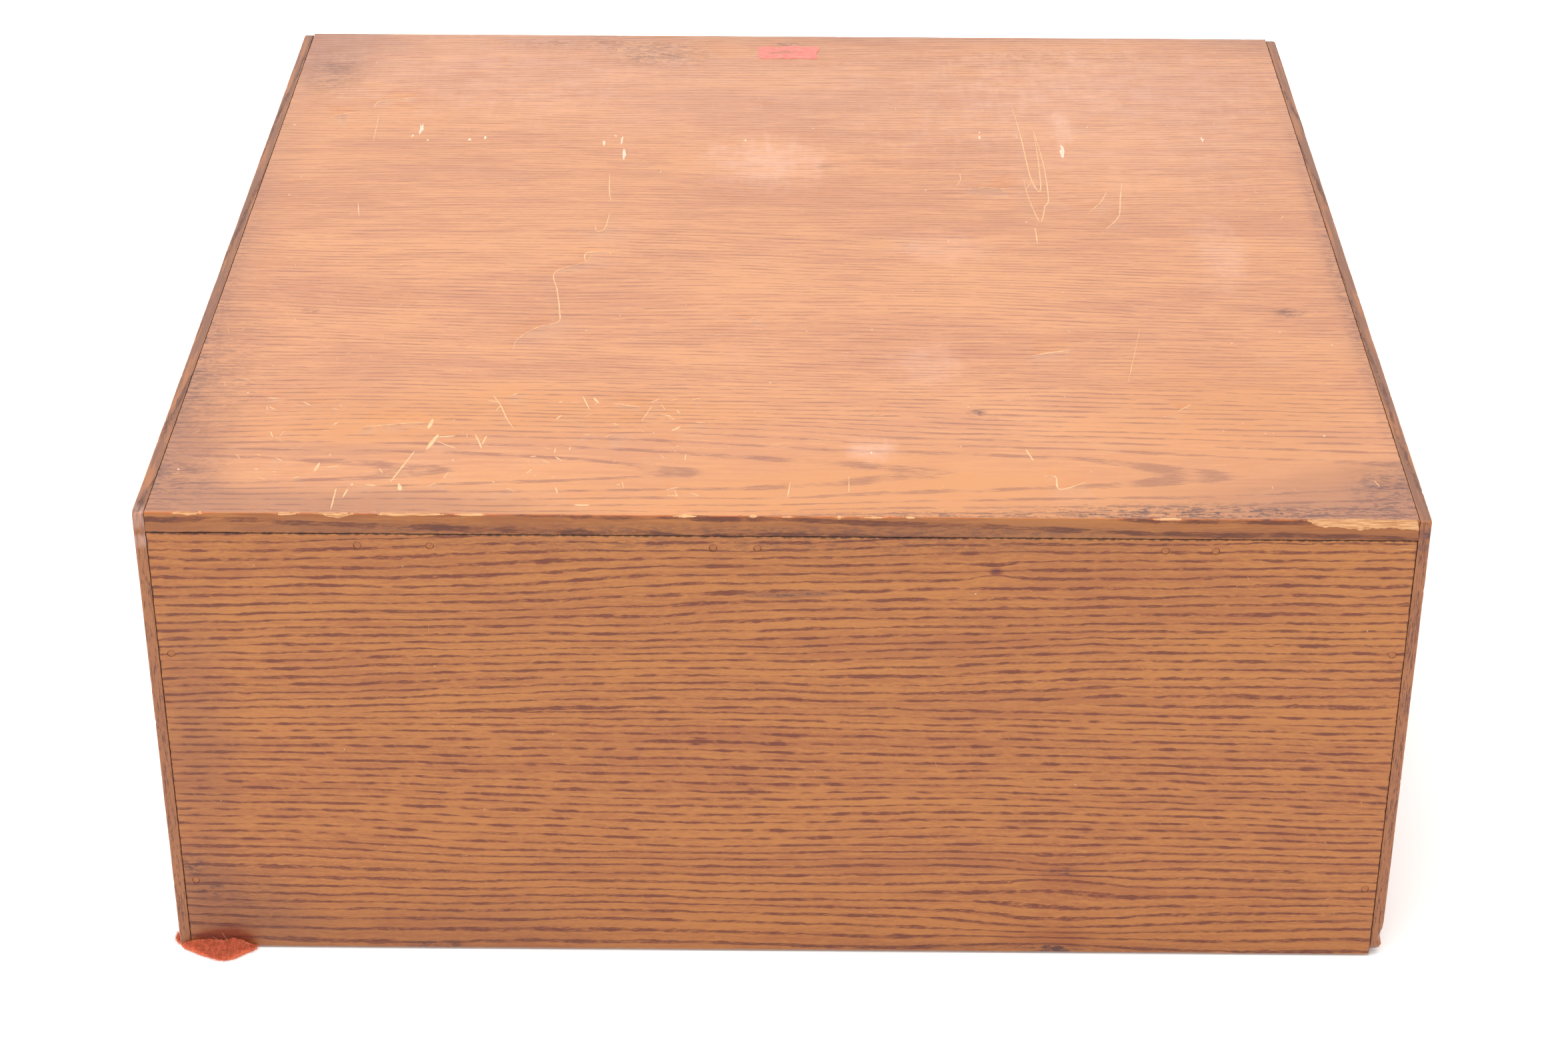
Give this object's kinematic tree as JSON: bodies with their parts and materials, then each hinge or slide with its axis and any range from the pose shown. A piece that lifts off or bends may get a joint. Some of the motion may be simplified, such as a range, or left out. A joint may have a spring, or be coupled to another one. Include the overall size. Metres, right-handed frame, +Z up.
{
  "type": "type case cabinet",
  "caption": "Tabletop oak cabinet with rabbeted, pegged boards, whose shallow divided cases for printing type slide out on side runners.",
  "frame": {"origin": "on the table under the centre of the carcass's footprint, at the underside of the felt pads", "axes": "+Z up; the cases slide out towards -Y and the plain back faces +Y; +X is to the right for someone at the case fronts"},
  "size_m": [0.4419, 0.454, 0.1841],
  "materials": {
    "carcass_oak": "aged reddish-brown stained oak, open pores, worn varnish",
    "back_oak": "golden-brown flat-sawn oak, dark open pores, satin varnish",
    "front_oak": "reddish-brown stained oak, satin varnish",
    "inside_oak": "bare oak, dry and darkened",
    "case_wood": "bare hardwood, darkened by handling",
    "case_bottom": "bare thin hardwood board",
    "divider_wood": "thin bare hardwood strips",
    "peg_wood": "dark end-grain pegs",
    "brad_steel": "dull steel",
    "pull_brass": "aged brass, brown patina, rubbed bright at the lip",
    "screw_brass": "aged brass",
    "card_stock": "aged blank paper card",
    "felt": "orange-red wool felt",
    "label_tape": "blank torn red paper tape"
  },
  "bodies": {
    "carcass": {"left_side": "carcass_oak", "right_side": "carcass_oak", "top_panel": "carcass_oak", "back_panel": "back_oak", "bottom_panel": "inside_oak", "back_pegs": "peg_wood", "runner_brads": "brad_steel", "felt_pads": "felt", "loose_felt_pad": "felt", "top_label": "label_tape", "runner_left_1": "inside_oak", "runner_left_2": "inside_oak", "runner_left_3": "inside_oak", "runner_left_4": "inside_oak", "runner_right_1": "inside_oak", "runner_right_2": "inside_oak", "runner_right_3": "inside_oak", "runner_right_4": "inside_oak"},
    "case_1": {"case_1_front": "front_oak", "case_1_left_side": "case_wood", "case_1_right_side": "case_wood", "case_1_back": "case_wood", "case_1_bottom": "case_bottom", "case_1_long_dividers": "divider_wood", "case_1_cross_dividers": "divider_wood", "case_1_pull": "pull_brass", "case_1_pull_screws": "screw_brass", "case_1_card": "card_stock"},
    "case_2": {"case_2_front": "front_oak", "case_2_left_side": "case_wood", "case_2_right_side": "case_wood", "case_2_back": "case_wood", "case_2_bottom": "case_bottom", "case_2_long_dividers": "divider_wood", "case_2_cross_dividers": "divider_wood", "case_2_pull": "pull_brass", "case_2_pull_screws": "screw_brass", "case_2_card": "card_stock"},
    "case_3": {"case_3_front": "front_oak", "case_3_left_side": "case_wood", "case_3_right_side": "case_wood", "case_3_back": "case_wood", "case_3_bottom": "case_bottom", "case_3_long_dividers": "divider_wood", "case_3_cross_dividers": "divider_wood", "case_3_pull": "pull_brass", "case_3_pull_screws": "screw_brass", "case_3_card": "card_stock"},
    "case_4": {"case_4_front": "front_oak", "case_4_left_side": "case_wood", "case_4_right_side": "case_wood", "case_4_back": "case_wood", "case_4_bottom": "case_bottom", "case_4_long_dividers": "divider_wood", "case_4_cross_dividers": "divider_wood", "case_4_pull": "pull_brass", "case_4_pull_screws": "screw_brass", "case_4_card": "card_stock"}
  },
  "joints": [
    {"name": "case_1_slide", "type": "slide", "parent": "carcass", "child": "case_1", "axis": [0, -1, 0], "range_m": [0, 0.33]},
    {"name": "case_2_slide", "type": "slide", "parent": "carcass", "child": "case_2", "axis": [0, -1, 0], "range_m": [0, 0.33]},
    {"name": "case_3_slide", "type": "slide", "parent": "carcass", "child": "case_3", "axis": [0, -1, 0], "range_m": [0, 0.33]},
    {"name": "case_4_slide", "type": "slide", "parent": "carcass", "child": "case_4", "axis": [0, -1, 0], "range_m": [0, 0.33]}
  ]
}
